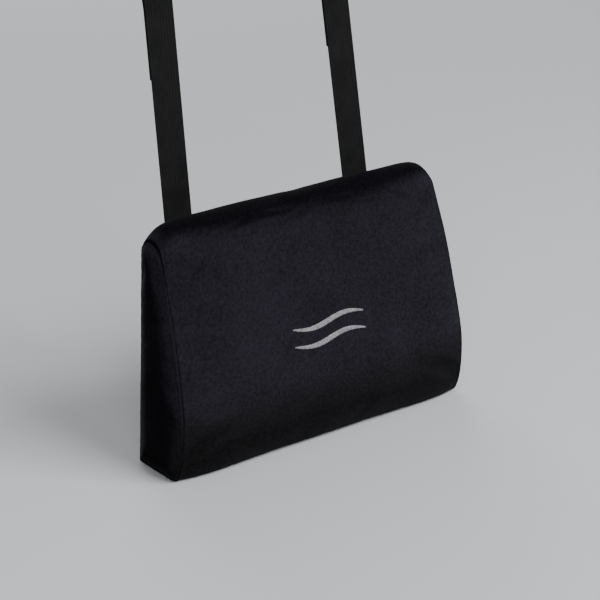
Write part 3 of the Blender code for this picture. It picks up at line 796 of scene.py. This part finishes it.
def ripple(positions, seed, waves):
    """A smooth, repeatable wandering value between about -1 and 1 along a seam."""
    chance = np.random.default_rng(seed)
    total = np.zeros_like(positions)
    for length in waves:
        total += np.sin(2 * np.pi * (positions / length + chance.random())) * chance.uniform(0.5, 1)
    return total / len(waves)


def seam_relief(distance, along_seam, seed, ridge, pucker=0.1 * MM):
    """Height of the cloth near a sewn seam: a groove, a ridge beside it, and puckers that fade out."""
    wander = ripple(along_seam, seed, (7 * MM, 9.5 * MM, 13 * MM, 31 * MM))
    groove = -1.6 * MM * hump(distance, 1.0 * MM)
    lip = ridge * (1 + 0.3 * wander) * hump(distance - 2.1 * MM, 1.1 * MM)
    fade = np.exp(-distance / (9 * MM)) * ramp(distance, 2 * MM)
    return groove + lip + pucker * wander * fade


# Wrinkles on the top roll and in the upper corners: centre x and z, length, width, slant and height
CREASES = (
    (-78 * MM, 224 * MM, 16 * MM, 2.4 * MM, 0.10, -0.55 * MM),
    (-40 * MM, 226 * MM, 20 * MM, 2.2 * MM, -0.06, -0.60 * MM),
    (-8 * MM, 221 * MM, 14 * MM, 2.6 * MM, 0.14, -0.42 * MM),
    (35 * MM, 225 * MM, 18 * MM, 2.4 * MM, -0.12, -0.42 * MM),
    (108 * MM, 216 * MM, 15 * MM, 2.8 * MM, -0.5, -0.55 * MM),
    (130 * MM, 193 * MM, 12 * MM, 3.0 * MM, -0.95, -0.45 * MM),
    (-128 * MM, 196 * MM, 12 * MM, 3.0 * MM, 0.9, -0.32 * MM),
)


def creases(x, z):
    """Height of the soft wrinkles. Each has a fold beside it, and bends a little along its length."""
    depth = np.zeros_like(x)
    for cx, cz, length, width, slant, height in CREASES:
        dx, dz = x - cx, z - cz
        a = dx * math.cos(slant) + dz * math.sin(slant)
        b = dz * math.cos(slant) - dx * math.sin(slant) + 0.02 * a * a / length
        wave = hump(b, width) - 0.6 * hump(b + 1.8 * width, 1.2 * width)
        depth += height * wave * hump(a, length)
    return depth


def seam_spaced(count, fine, dense_ends, density=4):
    """Fractional positions along a coarse axis, several times as close near its two ends."""
    ends = np.linspace(0, dense_ends, dense_ends * fine * density + 1)[:-1]
    middle = np.linspace(dense_ends, count - dense_ends, (count - 2 * dense_ends) * fine + 1)
    return np.concatenate([ends, middle, (count - ends)[::-1]])


def wrap_columns(coarse):
    """Fractional columns for the fine wrap, close together by the side seams."""
    return seam_spaced(coarse.shape[1] - 1, fine=3, dense_ends=8, density=2)


def edge_distances(grid):
    """Each point's distances along the surface from the grid's first and last column and its first row."""
    from_first = arc_lengths(grid, 1)
    return from_first, from_first[:, -1:] - from_first, arc_lengths(grid)


def soft_lumps(grid, seed, size, height):
    """Slow, shallow unevenness of foam under cloth."""
    chance = np.random.default_rng(seed)
    total = np.zeros(grid.shape[:2])
    for _ in range(7):
        direction = unit(chance.normal(size=3))
        length = size * chance.uniform(0.7, 1.5)
        total += np.sin(grid @ direction * (2 * np.pi / length) + chance.uniform(0, 6.3))
    return height * total / 7


def detailed_wrap(coarse):
    grid = sample(coarse, seam_spaced(ROWS, fine=3, dense_ends=3), wrap_columns(coarse))
    normals = outward(grid)
    from_left, from_right, up = edge_distances(grid)
    down = up[-1:] - up
    height = seam_relief(from_left, up, 11, 0.25 * MM)
    height += seam_relief(from_right, up, 12, 0.25 * MM)
    height += seam_relief(down, grid[..., 0] + 1, 13, 0.3 * MM)
    height += seam_relief(up, grid[..., 0] + 1, 14, 0.1 * MM) * (grid[..., 1] > 0)
    is_front = np.clip(-normals[..., 1] * 2, 0, 1)
    height += creases(grid[..., 0], grid[..., 2]) * is_front
    free = ramp(grid[..., 2], 8 * MM)
    height += soft_lumps(grid, 5, 70 * MM, 0.5 * MM) * free
    outer = grid + normals * height[..., None]
    outer[..., 2] = np.maximum(outer[..., 2], 0)
    return outer, normals


def detailed_side(coarse, seed):
    rows = seam_spaced(ROWS, fine=3, dense_ends=3)[2:-2]
    grid = sample(coarse, rows, seam_spaced(SIDE_CELLS, fine=4, dense_ends=4))
    normals = outward(grid)
    from_front, from_back, up = edge_distances(grid)
    height = seam_relief(from_front, up, seed, 0.1 * MM)
    height += seam_relief(from_back, up, seed + 1, 0.3 * MM)
    height += soft_lumps(grid, seed + 2, 55 * MM, 0.5 * MM)
    fade = ramp(from_front, 3 * MM) * ramp(from_back, 3 * MM)
    height = np.where(fade < 1, np.maximum(height, -1.5 * MM), height)
    return grid + normals * height[..., None], normals


def cushion_cover(looks):
    wrap = wrap_grid()
    left, right = side_grid(wrap[:, 0]), side_grid(wrap[:, -1])
    wrap, left, right = inflate(pulled_in(wrap, START_INSET), left, right)
    outer, normals = detailed_wrap(wrap)
    add_panel("cover_front_and_top", outer, normals, "cover_wrap", looks)
    for name, coarse, seed in (("left", left, 21), ("right", right, 31)):
        panel, normals = detailed_side(coarse, seed)
        add_panel(f"cover_side_panel_{name}", panel, normals, f"cover_side_{name}", looks)
    cushion_filling((wrap, left, right), looks)
    return wrap


def add_panel(name, outer, normals, node, looks):
    panel = add_shell(name, outer, outer - normals * COVER, looks["velour"])
    attach(panel, "cushion", node)


def back_panels(wrap, looks):
    """The two flat rear panels, folded under at the zip and dipping into the seams all round."""
    columns = wrap_columns(wrap)
    bottom = sample(wrap, [0], columns)[0]
    top = sample(wrap, [ROWS], columns)[0]
    closing = ramp(np.abs(bottom[:, 0]) - ZIP_ENDS, 9 * MM)
    mouth = ZIP_MOUTH / 2 + (0.25 * MM - ZIP_MOUTH / 2) * (3 * closing**2 - 2 * closing**3)
    spans = {
        "cover_back_upper": (ZIP_Z + mouth, top[:, 2], 90),
        "cover_back_lower": (bottom[:, 2], ZIP_Z - mouth, 24),
    }
    for node, (lower, upper, count) in spans.items():
        rows = dense_rows(count)
        z = lower[None] + (upper - lower)[None] * rows[:, None]
        share = (z - bottom[:, 2]) / (top[:, 2] - bottom[:, 2])
        x = bottom[:, 0] + (top[:, 0] - bottom[:, 0]) * share
        grid = points_at(x, BACK_Y, z)
        from_left, from_right, up = edge_distances(grid)
        down = up[-1:] - up
        zip_edge, seam = (up, down) if node == "cover_back_upper" else (down, up)
        height = seam_relief(from_left, up, 41, 0) + seam_relief(from_right, up, 42, 0)
        height += seam_relief(seam, x + 1, 43, 0)
        height -= 1.0 * MM * hump(zip_edge, 0.9 * MM)
        height -= 0.35 * MM * hump(zip_edge - 4 * MM, 0.8 * MM)
        height = np.maximum(height, -1.7 * MM)
        add_panel(f"{node}_panel", grid + REAR * height[..., None], REAR, node, looks)


def dense_rows(count):
    """Shares from 0 to 1, closer together near both ends."""
    t = np.linspace(0, 1, count + 1)
    return t - 0.14 * np.sin(2 * np.pi * t)


# ---------------- threads


class Threads:
    """Many small stitches gathered into one piece."""

    def __init__(self, radius=0.32 * MM):
        self.tubes = []
        self.radius = radius

    def stitch(self, start, end, normal):
        """One stitch, which rises out of the cloth at its start and sinks in again at its end."""
        shares = np.array((0, 0.12, 0.32, 0.5, 0.68, 0.88, 1))[:, None]
        bow = np.sin(math.pi * shares)
        centres = start + (end - start) * shares + normal * self.radius * (1.5 * bow - 0.8)
        thick = self.radius * (0.35 + 0.65 * np.minimum(1, 1.4 * bow))
        cosines, sines = circle(6)
        around = np.outer(cosines, unit(np.cross(end - start, normal))) + np.outer(sines, normal)
        self.tubes.append(centres[:, None] + thick[:, None] * around)

    def row(self, points, normals, length=2.6 * MM, space=1.0 * MM):
        """A row of stitches along a line of points on a surface."""
        points = np.asarray(points, float)
        both = np.concatenate([points, np.broadcast_to(normals, points.shape)], axis=1)
        lengths = arc_lengths(points)
        total = lengths[-1]
        count = max(1, round(total / (length + space)))
        gap = 0.5 * space / (length + space)
        for number in range(count):
            ends = total * np.array((number + gap, number + 1 - gap)) / count
            start, end = points_at(*[np.interp(ends, lengths, column) for column in both.T])
            self.stitch(start[:3], end[:3], unit(start[3:] + end[3:]))

    def box(self, line, normals, across):
        """Rows round a stretch of webbing and along its diagonals. The line runs down its middle, and
        across is the way from there to its edge."""
        every = np.arange(len(line))
        rows = [(-1, 1, 0 * every), (-1, 1, 0 * every + every[-1])]
        rows += [(start, end, every) for start in (-1, 1) for end in (-1, 1)]
        for start, end, places in rows:
            shares = np.linspace(start, end, len(line))[:, None]
            self.row(line[places] + shares * across, normals[places])

    def add(self, name, finish, slot, body):
        attach(add_tubes(name, self.tubes, finish, sharp=None), body)


def zip_topstitching(looks):
    """Two rows of stitches that hold the zip's tapes, joined by a bar tack at each end."""
    threads = Threads()
    reach = ZIP_ENDS + 7 * MM
    half_tack = np.array((1.6 * MM, 0, 0))
    sunk = BACK_Y - 0.35 * MM
    for side in (-1, 1):
        z = ZIP_Z + side * (ZIP_MOUTH / 2 + 4 * MM)
        threads.row([(-reach, sunk, z), (reach, sunk, z)], REAR)
        for offset in np.arange(-3, 3.1, 0.75) * MM:
            middle = np.array((side * (reach - 1 * MM), BACK_Y, ZIP_Z + offset))
            threads.stitch(middle - half_tack, middle + half_tack, REAR)
    threads.add("zip_topstitching", looks["dark_thread"], "velour", "cushion")


# ---------------- zip


def coil_wire(low, middle, reach, length):
    """Rings of a wire that is wound along x round an oval."""
    turns = length / COIL_PITCH
    steps = np.linspace(0, turns, int(turns * 12))
    angle = 2 * math.pi * steps
    out = points_at(0, np.cos(angle), np.sin(angle))
    line = points_at(low + steps * COIL_PITCH, *middle) + out * reach
    ahead = unit(np.gradient(line, axis=0))
    out = unit(out - ahead * np.sum(out * ahead, axis=-1, keepdims=True))
    beside = np.cross(ahead, out)
    cosines, sines = circle(6)
    return line[:, None] + COIL_WIRE * (out[:, None] * cosines[:, None] + beside[:, None] * sines[:, None])


def zip_coil(word, looks):
    """A moulded coil: one nylon wire wound along the row, round a thin cord."""
    low, high = (np.array(corner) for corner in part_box(f"zip_row_{word}"))
    middle = (low + high)[1:] / 2
    reach = (high - low) / 2 - COIL_WIRE
    wire = coil_wire(low[0], middle, reach * (0, 1, 1), high[0] - low[0])
    line = points_at(np.linspace(low[0] + COIL_WIRE, high[0] - COIL_WIRE, 62), *middle)
    cord = line[:, None] + points_at(0, *circle(12)) * (reach - COIL_WIRE)
    coil = add_tubes(f"zip_coil_{word}", [wire, cord], looks["zip_coil"])
    attach(coil, "cushion", f"zip_row_{word}")


def zip_tape(word, looks):
    """Ribbed tape beside the coil, with a thicker cord where it meets the teeth."""
    low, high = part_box(f"zip_tape_{word}")
    x = np.linspace(low.x, high.x, 131)[:, None]
    z = np.linspace(low.z, high.z, 41)
    inner_edge = z - low.z if word == "upper" else high.z - z
    ribs = 0.07 * MM * np.cos(2 * math.pi * inner_edge / (1 * MM))
    cord = 0.15 * MM * hump(inner_edge, 0.9 * MM)
    half = (high.y - low.y) / 2 - 0.1 * MM
    middle = (high.y + low.y) / 2
    outer = points_at(x, middle + half + ribs + cord, z)
    inner = points_at(x, middle - half - ribs, z)
    tape = add_shell(f"zip_tape_woven_{word}", outer, inner, looks["zip_tape"])
    attach(tape, "cushion", f"zip_tape_{word}")


# ---------------- straps


class StrapFrame:
    """A strap's own axes and the point where its webbing passes the buckle's bar."""

    def __init__(self, word):
        joints = {joint["name"]: joint for joint in frame["joints"]}
        up = -np.array(joints[f"{word}_length_adjust"]["axis"])
        prongs = [joints[f"{word}_prong_{which}_squeeze"] for which in ("outer", "inner")]
        rear = np.array(prongs[0]["axis"])
        rear = rear * np.sign(rear[1])
        middle = np.mean([prong["pos_m"] for prong in prongs], axis=0)
        self.origin = middle - up * PRONG_Z - rear * BUCKLE_Y
        self.axes = np.stack([np.cross(rear, up), rear, up])

    def world(self, points):
        return self.origin + np.asarray(points) @ self.axes

    def turned(self, directions):
        return np.asarray(directions) @ self.axes


def smooth_path(points, step=2 * MM, passes=6):
    """A line of (y, z) points, evenly spaced and with its corners rounded."""
    points = np.array(points, float)
    count = max(3, round(arc_lengths(points)[-1] / step)) + 1
    path = along(points, np.linspace(0, 1, count))
    for _ in range(passes):
        path[1:-1] = (path[:-2] + 2 * path[1:-1] + path[2:]) / 4
    return path


def path_normals(path):
    ahead = unit(np.gradient(path, axis=0))
    return points_at(-ahead[:, 1], ahead[:, 0])


def webbing_section():
    """Outline of the ribbed webbing, across and through: the rear face and then the front."""
    x = np.linspace(-STRAP_HALF, STRAP_HALF, 81)
    edge = ramp(STRAP_HALF - np.abs(x), 0.9 * MM)
    body = WEBBING / 2 - RIB_HEIGHT / 2 + RIB_HEIGHT / 2 * np.cos(2 * math.pi * (x / RIB_PITCH + 0.5))
    half = body * np.maximum(np.sqrt(1 - (1 - edge) ** 2), 0.3)
    return np.concatenate([x, x[::-1]]), np.concatenate([half, -half[::-1]])


def ribbon(name, path, place, finish):
    """Webbing along a path of (y, z) points in a strap's frame."""
    across, thick = webbing_section()
    normals = path_normals(path)
    rings = points_at(across, *[path[:, [i]] + normals[:, [i]] * thick for i in (0, 1)])
    uv = points_at(across, arc_lengths(path)[:, None]).reshape(-1, 2)
    return add_tubes(name, [place.world(rings)], finish, uv)


def strap_run(word, place, looks):
    low = (STRAP_ANCHOR * math.sin(STRAP_TILT), -STRAP_LENGTH - STRAP_ANCHOR * math.cos(STRAP_TILT))
    path = smooth_path([low, (0, -STRAP_LENGTH), (0, -GAP / 2)], passes=4)
    run = ribbon(f"strap_webbing_{word}", path, place, looks["webbing"])
    start, end = place.world([(0, 0, -STRAP_LENGTH), (0, 0, 0)])
    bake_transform(run)
    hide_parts(f"strap_run_{word}")
    threads = Threads()
    line = start + points_at(0, WEBBING / 2, ANCHOR_BOX)
    threads.box(line, np.stack([REAR, REAR]), (BOX_HALF, 0, 0))
    threads.add(f"strap_anchor_stitches_{word}", looks["dark_thread"], "webbing", "cushion")


def strap_turn(word, place, looks):
    angles = np.linspace(0, math.pi, 25)
    arc = points_at(BUCKLE_Y * (1 - np.cos(angles)), GAP / 2 + BUCKLE_Y * np.sin(angles))
    path = np.concatenate([arc, [(2 * BUCKLE_Y, -TURN_END / 2), (2 * BUCKLE_Y, -TURN_END)]])
    turn = ribbon(f"strap_bar_turn_{word}", path, place, looks["webbing"])
    attach(turn, f"{word}_buckle_male", f"strap_turn_{word}")


def strap_tail(word, place, looks):
    """The loose end, which lies behind the run. Its cut end is sealed and held by two rows of stitches."""
    close = WEBBING + GAP
    corners = [(2 * BUCKLE_Y, -TURN_END - GAP), (2 * BUCKLE_Y, -10 * MM)]
    corners += [(close, -TAIL_CLOSES - 6 * MM), (close, -TAIL_LENGTH)]
    path = smooth_path(corners)
    tail = ribbon(f"strap_loose_end_{word}", path, place, looks["webbing"])
    start, end = place.world([(0, 0, -TURN_END), (0, 0, 14 * MM - TAIL_LENGTH)])
    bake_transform(tail)
    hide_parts(f"strap_tail_{word}")
    threads = Threads()
    for height in TAIL_HEMS:
        ends = [(side * 13 * MM, close + WEBBING / 2, height - TAIL_LENGTH) for side in (-1, 1)]
        threads.row(place.world(ends), place.turned((0, 1, 0)))
    threads.add(f"strap_end_stitches_{word}", looks["dark_thread"], "webbing", f"{word}_strap_tail")


def loop_path():
    """The loop's (y, z) line: down its overlap's outer ply, round the bar, over the top and down again."""
    low, high = LOOP_OVERLAP
    inner = BAR + GAP + WEBBING / 2
    shares = np.linspace(0, 1, 25)
    spread = inner + (LOOP_HALF - inner) * np.sin(shares * math.pi / 2)
    heights = LOOP_WIDEST * shares
    ply = (WEBBING + 0.1 * MM) / 2
    ease = 10 * MM
    outer = ramp(high - heights + ease / 2, ease) * ramp(heights - low + ease / 2, ease)
    first = heights <= high
    down = points_at(spread + ply * outer, heights)[first][::-1]
    turns = np.linspace(math.pi / 2, -math.pi / 2, 17)[1:-1]
    under = inner * points_at(np.sin(turns), -np.cos(turns))
    up = points_at(-spread, heights)
    turns = np.linspace(math.pi, 0, 25)[1:-1]
    over = points_at(LOOP_HALF * np.cos(turns), LOOP_WIDEST + LOOP_HALF * np.sin(turns))
    second = heights >= low
    back = points_at(spread - ply * outer, heights)[second][::-1]
    path = smooth_path(np.concatenate([down, under, up, over, back]), 1.5 * MM, 2)
    return path + (BUCKLE_Y, FEMALE_BAR_Z)


def strap_loop(word, place, looks):
    path = loop_path()
    loop = ribbon(f"strap_sewn_loop_{word}", path, place, looks["webbing"])
    attach(loop, f"{word}_buckle_female", f"strap_loop_{word}")
    outer_ply = path[: len(path) // 4]
    above = outer_ply[:, 1] - FEMALE_BAR_Z
    sewn = outer_ply[(outer_ply[:, 0] > BUCKLE_Y) & (above > LOOP_BOX[0]) & (above < LOOP_BOX[1])]
    normals = path_normals(sewn)
    normals = normals * np.sign(normals[:1, :1])
    line = place.world(points_at(0, *(sewn + normals * WEBBING / 2).T))
    threads = Threads()
    threads.box(line, place.turned(points_at(0, *normals.T)), place.turned((BOX_HALF, 0, 0)))
    threads.add(f"strap_loop_stitches_{word}", looks["dark_thread"], "webbing", f"{word}_buckle_female")


def straps(looks):
    for word in ("left", "right"):
        place = StrapFrame(word)
        strap_run(word, place, looks)
        strap_turn(word, place, looks)
        strap_tail(word, place, looks)
        strap_loop(word, place, looks)
        buckle_details(word, place, looks)


# ---------------- mark and label


def surface_points(panel, x, z):
    """Where lines of sight from the front meet a panel, with the normals there."""
    places = points_at(x, z)
    hits = [panel.ray_cast((px, -1, pz), (0, 1, 0)) for px, pz in places.reshape(-1, 2)]
    shape = (*places.shape[:2], 3)
    return np.reshape([hit[1] for hit in hits], shape), np.reshape([hit[2] for hit in hits], shape)


def mark_wave(word, looks):
    """A satin-stitched wave: threads laid side by side across the band, padded in the middle."""
    low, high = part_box(f"mark_wave_{word}")
    middle_z = (low.z + high.z) / 2
    share = np.linspace(-1, 1, 760)[:, None]
    across = np.linspace(-1, 1, 13)[None]
    band = MARK_BAND * (1 - MARK_TAPER * share**2)
    x = share * high.x
    z = middle_z + MARK_SWING * np.sin(share * math.pi) + band * across
    slanted = x + 0.35 * (z - middle_z)
    thread = np.abs(np.sin(math.pi * slanted / THREAD_PITCH))
    chance = np.random.default_rng(3).normal(size=600)
    uneven = chance[np.floor((slanted + 0.1) / THREAD_PITCH).astype(int) % 600]
    z = z + 0.10 * MM * uneven * across
    crown = np.sqrt(np.clip(1 - across**4, 0, 1))
    height = crown * (0.42 * MM + 0.16 * MM * thread + 0.03 * MM * uneven)
    at, normals = surface_points(bpy.data.objects["cover_front_and_top"], x, z)
    outer = at + normals * height[..., None]
    inner = at - normals * 0.35 * MM
    wave = add_shell(f"mark_wave_satin_{word}", outer, inner, looks["mark_thread"])
    attach(wave, "cushion", f"mark_wave_{word}")


def care_label(looks):
    """A blank satin label, sewn along its top edge and lifting a little at its free corners."""
    low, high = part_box("care_label")
    x = np.linspace(low.x, high.x, 61)[:, None]
    z = np.linspace(low.z, high.z, 43)
    down = (high.z - z) / (high.z - low.z)
    lift = 0.5 * MM * down**2 * (1 + 0.5 * np.sin(4 * x / (high.x - low.x)))
    hem = 0.15 * MM * (np.minimum(x - low.x, high.x - x) < 1.2 * MM)
    back = points_at(x, low.y + 0.05 * MM + lift, z)
    front = back + points_at(0, 0.35 * MM + hem, 0)
    label = add_shell("care_label_satin", front, back, looks["label_satin"])
    attach(label, "cushion", "care_label")
    threads = Threads(0.22 * MM)
    y, z = high.y + 0.05 * MM, high.z - 1.6 * MM
    ends = [(low.x + 1 * MM, y, z), (high.x - 1 * MM, y, z)]
    threads.row(ends, REAR, 1.8 * MM, 0.7 * MM)
    threads.add("care_label_stitches", looks["dark_thread"], "label_satin", "cushion")


# ---------------- buckles


def moulded_bar(half, face, corner_points=4):
    """Rings of a bar with rounded corners and a domed top, from its foot along y towards face."""
    count = 4 * corner_points
    rim = points_at(*circle(count, math.pi / count))
    flat_half = np.array((half[0], half[2]))
    radius = 0.8 * flat_half.min()
    rings = []
    for rise, shrink in ((-1, 0), (0.3, 0), (0.75, 0.35), (1, 1)):
        ring = np.maximum(flat_half - radius, 0) * np.sign(rim) + rim * radius * (1 - 0.8 * shrink)
        rings.append(points_at(ring[:, 0], face * half[1] * rise, ring[:, 1]))
    return np.array(rings)


def add_bars(name, bars, place, body, looks):
    """Moulded bars as one piece in a strap's frame. Each is its centre, its half size in mm and its face."""
    tubes = [place.world(moulded_bar(np.array(half) * MM, face) + centre) for centre, half, face in bars]
    attach(add_tubes(name, tubes, looks["buckle_nylon"], sharp=None), body)


def buckle_details(word, place, looks):
    """A raised frame and grip ribs on both faces of the female half, and ribs on the male half's base."""
    female, male = [], []
    for face in (-1, 1):
        surface = BUCKLE_Y + face * FEMALE_THICK / 2
        for side in (-1, 1):
            female.append(((side * GRIP_HALF, surface, GRIP_Z), (0.5, 0.35, 6.5), face))
            female.append(((0, surface, GRIP_Z + side * 6.4 * MM), (12.0, 0.35, 0.5), face))
        for step in range(-2, 3):
            female.append(((0, surface, GRIP_Z + step * GRIP_PITCH), (6.5 - abs(step), 0.3, 0.45), face))
        surface = BUCKLE_Y + face * MALE_THICK / 2
        for z in (7.4 * MM, 9.0 * MM):
            male.append(((0, surface, z), (11.0, 0.3, 0.4), face))
    add_bars(f"buckle_female_ribs_{word}", female, place, f"{word}_buckle_female", looks)
    add_bars(f"buckle_male_ribs_{word}", male, place, f"{word}_buckle_male", looks)


# ---------------- run


add_camera()
add_studio()
add_floor()
LOOKS = make_materials()

NODE_SLOTS = {item["node"]: item["material_slot"] for item in frame["record"]["subparts"]}
for node_name, node in frame["nodes"].items():
    node.data.materials.clear()
    node.data.materials.append(LOOKS[NODE_SLOTS[node_name]])

wrap_form = cushion_cover(LOOKS)
back_panels(wrap_form, LOOKS)
zip_topstitching(LOOKS)
for side_word in ("upper", "lower"):
    zip_coil(side_word, LOOKS)
    zip_tape(side_word, LOOKS)
    mark_wave(side_word, LOOKS)
care_label(LOOKS)
straps(LOOKS)
